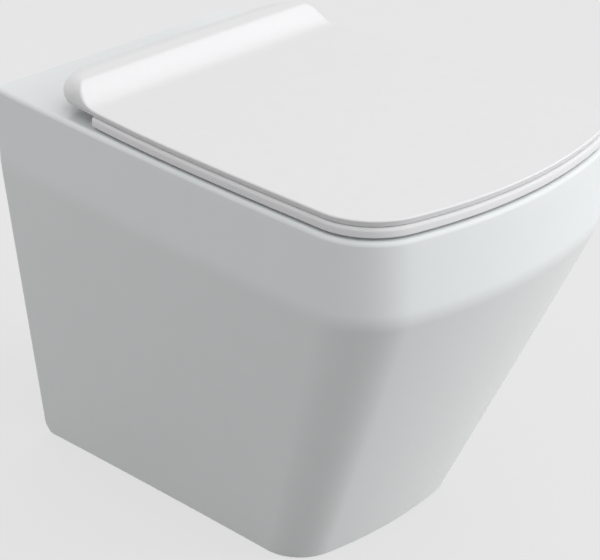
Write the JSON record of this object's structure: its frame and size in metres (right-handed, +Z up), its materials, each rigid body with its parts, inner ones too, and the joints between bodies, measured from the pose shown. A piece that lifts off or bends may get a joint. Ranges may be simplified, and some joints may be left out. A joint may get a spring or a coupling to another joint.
{
  "type": "back to wall toilet",
  "caption": "Back to wall toilet: white glazed pan with an upright rim band over a tapering skirt, slim soft-close seat ring and a lid with a rear hump.",
  "frame": {"origin": "on the centre line, where the wall meets the floor", "axes": "+Y into the wall, -Y to the front of the pan, +Z up, +X to the right of someone who faces the pan"},
  "size_m": [0.382, 0.58, 0.4796],
  "materials": {
    "glazed_ceramic": "gloss white glaze",
    "seat_plastic": "gloss white moulded plastic",
    "buffer_rubber": "matt pale grey",
    "hinge_chrome": "polished",
    "steel": "satin",
    "zinc_steel": "zinc plated",
    "black_rubber": "matt",
    "damper_plastic": "matt",
    "bush_plastic": "matt natural",
    "brass": "turned",
    "pipe_plastic": "satin white"
  },
  "bodies": {
    "root": {"pan": "glazed_ceramic", "hinge_post_left": "hinge_chrome", "hinge_post_right": "hinge_chrome", "hinge_base_left": "hinge_chrome", "hinge_base_right": "hinge_chrome", "hinge_pin_left": "steel", "hinge_pin_right": "steel", "hinge_gaskets": "black_rubber", "seat_bolts": "steel", "fixing_dowels": "black_rubber", "dowel_nuts": "brass", "flush_pipe": "pipe_plastic", "inlet_seal": "black_rubber", "outlet_connector": "pipe_plastic", "outlet_seal": "black_rubber", "floor_bracket_left": "zinc_steel", "floor_bracket_right": "zinc_steel", "clamp_bolts": "steel", "clamp_plugs": "bush_plastic"},
    "ring": {"seat_ring": "seat_plastic", "ring_buffers": "buffer_rubber", "ring_damper": "damper_plastic", "ring_bush": "bush_plastic"},
    "lid": {"seat_lid": "seat_plastic", "lid_buffers": "buffer_rubber", "lid_damper": "damper_plastic", "lid_bush": "bush_plastic"}
  },
  "joints": [
    {"name": "ring_hinge", "type": "hinge", "parent": "root", "child": "ring", "pos_m": [0, -0.094, 0.4626], "axis": [-1, 0, 0], "range_deg": [0, 92]},
    {"name": "lid_hinge", "type": "hinge", "parent": "ring", "child": "lid", "pos_m": [0, -0.094, 0.4626], "axis": [-1, 0, 0], "range_deg": [0, 92]}
  ]
}
